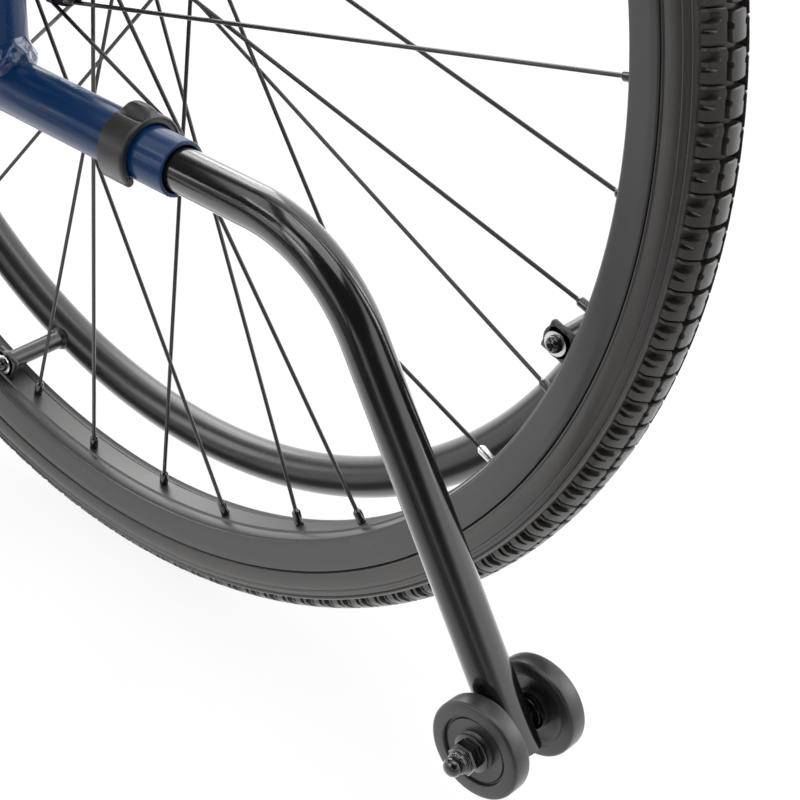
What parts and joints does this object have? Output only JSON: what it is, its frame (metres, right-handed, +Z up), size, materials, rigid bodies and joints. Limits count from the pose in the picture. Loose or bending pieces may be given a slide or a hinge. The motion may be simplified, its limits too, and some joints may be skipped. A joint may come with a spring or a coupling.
{
  "type": "wheelchair",
  "caption": "Folding manual wheelchair with spoked rear wheels, handrims, sling seat and back, flip-back arms, swing-away footrests and anti-tip bars.",
  "frame": {"origin": "middle of the footprint, on the floor", "axes": "+Z up, -Y the way the chair faces, +X the sitter's left"},
  "size_m": [0.6472, 0.9504, 0.9558],
  "materials": {
    "frame_blue": "satin dark blue powder coat",
    "black_metal": "gloss black coat",
    "satin_metal": "satin black anodised",
    "bright_steel": "zinc plated",
    "tyre": "matte moulded rubber",
    "castor_rubber": "moulded polyurethane",
    "grip_rubber": "matte",
    "black_plastic": "moulded, fine grain",
    "pad_vinyl": "padded vinyl",
    "sling_cloth": "woven nylon"
  },
  "bodies": {
    "right_frame": {"right_side_frame": "frame_blue", "right_handgrip": "grip_rubber", "right_receiver_collar": "black_plastic", "right_seat_guide_rear": "black_plastic", "right_seat_guide_front": "black_plastic", "right_rear_axle": "bright_steel", "right_brake_mount": "black_metal", "back_sling": "sling_cloth"},
    "right_wheel": {"right_tyre": "tyre", "right_rim": "satin_metal", "right_hub_and_spokes": "black_metal", "right_handrim": "black_metal"},
    "right_bar": {"right_anti_tip_bar": "black_metal", "right_snap_spring": "bright_steel", "right_anti_tip_axle": "black_metal"},
    "right_tip_castor_inner": {"right_anti_tip_castor_inner": "castor_rubber"},
    "right_tip_castor_outer": {"right_anti_tip_castor_outer": "castor_rubber"},
    "right_arm": {"right_arm_tube": "frame_blue", "right_arm_pad": "pad_vinyl", "right_side_guard": "black_plastic"},
    "right_lever": {"right_brake_lever": "black_metal"},
    "right_shoe": {"right_brake_shoe": "black_metal"},
    "right_fork": {"right_castor_fork": "black_metal", "right_castor_axle": "bright_steel"},
    "right_castor": {"right_castor_wheel": "castor_rubber"},
    "right_front_hanger": {"right_hanger": "frame_blue"},
    "right_footrest": {"right_footrest_tube": "black_metal"},
    "right_plate": {"right_footplate": "black_plastic"},
    "left_frame": {"left_side_frame": "frame_blue", "left_handgrip": "grip_rubber", "left_receiver_collar": "black_plastic", "left_seat_guide_rear": "black_plastic", "left_seat_guide_front": "black_plastic", "left_rear_axle": "bright_steel", "left_brake_mount": "black_metal"},
    "left_wheel": {"left_tyre": "tyre", "left_rim": "satin_metal", "left_hub_and_spokes": "black_metal", "left_handrim": "black_metal"},
    "left_bar": {"left_anti_tip_bar": "black_metal", "left_snap_spring": "bright_steel", "left_anti_tip_axle": "black_metal"},
    "left_tip_castor_inner": {"left_anti_tip_castor_inner": "castor_rubber"},
    "left_tip_castor_outer": {"left_anti_tip_castor_outer": "castor_rubber"},
    "left_arm": {"left_arm_tube": "frame_blue", "left_arm_pad": "pad_vinyl", "left_side_guard": "black_plastic"},
    "left_lever": {"left_brake_lever": "black_metal"},
    "left_shoe": {"left_brake_shoe": "black_metal"},
    "left_fork": {"left_castor_fork": "black_metal", "left_castor_axle": "bright_steel"},
    "left_castor": {"left_castor_wheel": "castor_rubber"},
    "left_front_hanger": {"left_hanger": "frame_blue"},
    "left_footrest": {"left_footrest_tube": "black_metal"},
    "left_plate": {"left_footplate": "black_plastic"},
    "brace_rear": {"brace_a": "frame_blue", "centre_pin": "bright_steel"},
    "brace_front": {"brace_b": "frame_blue"},
    "seat": {"seat_sling": "sling_cloth"}
  },
  "joints": [
    {"name": "fold", "type": "hinge", "parent": "right_frame", "child": "brace_rear", "pos_m": [-0.2144, 0.00167, 0.25513], "axis": [0, -1, 0], "range_deg": [0, 52.2], "deforming": ["seat_sling", "back_sling"]},
    {"name": "fold_brace", "type": "hinge", "parent": "brace_rear", "child": "brace_front", "pos_m": [0, -0.01033, 0.36674], "axis": [0, -1, 0], "range_deg": [-104.4, 0]},
    {"name": "fold_left_frame", "type": "hinge", "parent": "brace_front", "child": "left_frame", "pos_m": [0.2144, -0.02233, 0.25513], "axis": [0, -1, 0], "range_deg": [0, 52.2]},
    {"name": "fold_seat", "type": "hinge", "parent": "brace_rear", "child": "seat", "pos_m": [0.1884, 0.00167, 0.46482], "axis": [0, -1, 0], "range_deg": [-52.2, 0]},
    {"name": "right_wheel_spin", "type": "hinge", "parent": "right_frame", "child": "right_wheel", "pos_m": [-0.2731, 0.17167, 0.30353], "axis": [1, 0, 0], "continuous": true},
    {"name": "right_bar_slide", "type": "slide", "parent": "right_frame", "child": "right_bar", "axis": [0, 0.9998, -0.0209], "range_m": [0, 0.075], "deforming": ["right_snap_spring"]},
    {"name": "right_tip_castor_inner_spin", "type": "hinge", "parent": "right_bar", "child": "right_tip_castor_inner", "pos_m": [-0.2144, 0.45167, 0.08774], "axis": [1, 0, 0], "continuous": true},
    {"name": "right_tip_castor_outer_spin", "type": "hinge", "parent": "right_bar", "child": "right_tip_castor_outer", "pos_m": [-0.2144, 0.45167, 0.08774], "axis": [1, 0, 0], "continuous": true},
    {"name": "right_arm_flip", "type": "hinge", "parent": "right_frame", "child": "right_arm", "pos_m": [-0.2389, 0.14367, 0.56282], "axis": [1, 0, 0], "range_deg": [-95, 0]},
    {"name": "right_lever_turn", "type": "hinge", "parent": "right_frame", "child": "right_lever", "pos_m": [-0.2494, -0.18833, 0.41782], "axis": [1, 0, 0], "range_deg": [0, 55]},
    {"name": "right_shoe_turn", "type": "hinge", "parent": "right_frame", "child": "right_shoe", "pos_m": [-0.2349, -0.16333, 0.41282], "axis": [1, 0, 0], "range_deg": [-13.6, 0]},
    {"name": "right_fork_swivel", "type": "hinge", "parent": "right_frame", "child": "right_fork", "pos_m": [-0.2144, -0.21333, 0.169], "axis": [0, 0, 1], "continuous": true},
    {"name": "right_castor_spin", "type": "hinge", "parent": "right_fork", "child": "right_castor", "pos_m": [-0.2144, -0.17833, 0.07356], "axis": [1, 0, 0], "continuous": true},
    {"name": "right_hanger_swing", "type": "hinge", "parent": "right_frame", "child": "right_front_hanger", "pos_m": [-0.2144, -0.24033, 0.39782], "axis": [0, 0, 1], "range_deg": [-90, 0]},
    {"name": "right_footrest_slide", "type": "slide", "parent": "right_front_hanger", "child": "right_footrest", "axis": [0, -0.4226, -0.9063], "range_m": [0, 0.04]},
    {"name": "right_plate_flip", "type": "hinge", "parent": "right_footrest", "child": "right_plate", "pos_m": [-0.2144, -0.34691, 0.105], "axis": [0, -1, 0], "range_deg": [-90, 0]},
    {"name": "left_wheel_spin", "type": "hinge", "parent": "left_frame", "child": "left_wheel", "pos_m": [0.2731, 0.17167, 0.30353], "axis": [1, 0, 0], "continuous": true},
    {"name": "left_bar_slide", "type": "slide", "parent": "left_frame", "child": "left_bar", "axis": [0, 0.9998, -0.0209], "range_m": [0, 0.075], "deforming": ["left_snap_spring"]},
    {"name": "left_tip_castor_inner_spin", "type": "hinge", "parent": "left_bar", "child": "left_tip_castor_inner", "pos_m": [0.2144, 0.45167, 0.08774], "axis": [1, 0, 0], "continuous": true},
    {"name": "left_tip_castor_outer_spin", "type": "hinge", "parent": "left_bar", "child": "left_tip_castor_outer", "pos_m": [0.2144, 0.45167, 0.08774], "axis": [1, 0, 0], "continuous": true},
    {"name": "left_arm_flip", "type": "hinge", "parent": "left_frame", "child": "left_arm", "pos_m": [0.2389, 0.14367, 0.56282], "axis": [1, 0, 0], "range_deg": [-95, 0]},
    {"name": "left_lever_turn", "type": "hinge", "parent": "left_frame", "child": "left_lever", "pos_m": [0.2494, -0.18833, 0.41782], "axis": [1, 0, 0], "range_deg": [0, 55]},
    {"name": "left_shoe_turn", "type": "hinge", "parent": "left_frame", "child": "left_shoe", "pos_m": [0.2349, -0.16333, 0.41282], "axis": [1, 0, 0], "range_deg": [-13.6, 0]},
    {"name": "left_fork_swivel", "type": "hinge", "parent": "left_frame", "child": "left_fork", "pos_m": [0.2144, -0.21333, 0.169], "axis": [0, 0, 1], "continuous": true},
    {"name": "left_castor_spin", "type": "hinge", "parent": "left_fork", "child": "left_castor", "pos_m": [0.2144, -0.17833, 0.07356], "axis": [1, 0, 0], "continuous": true},
    {"name": "left_hanger_swing", "type": "hinge", "parent": "left_frame", "child": "left_front_hanger", "pos_m": [0.2144, -0.24033, 0.39782], "axis": [0, 0, -1], "range_deg": [-90, 0]},
    {"name": "left_footrest_slide", "type": "slide", "parent": "left_front_hanger", "child": "left_footrest", "axis": [0, -0.4226, -0.9063], "range_m": [0, 0.04]},
    {"name": "left_plate_flip", "type": "hinge", "parent": "left_footrest", "child": "left_plate", "pos_m": [0.2144, -0.34691, 0.105], "axis": [0, 1, 0], "range_deg": [-90, 0]}
  ],
  "couplings": [
    {"joint": "fold_brace", "follows": "fold", "ratio": -2},
    {"joint": "fold_left_frame", "follows": "fold", "ratio": 1},
    {"joint": "fold_seat", "follows": "fold", "ratio": -1},
    {"joint": "right_shoe_turn", "follows": "right_lever_turn", "ratio": -0.2454},
    {"joint": "left_shoe_turn", "follows": "left_lever_turn", "ratio": -0.2454}
  ]
}
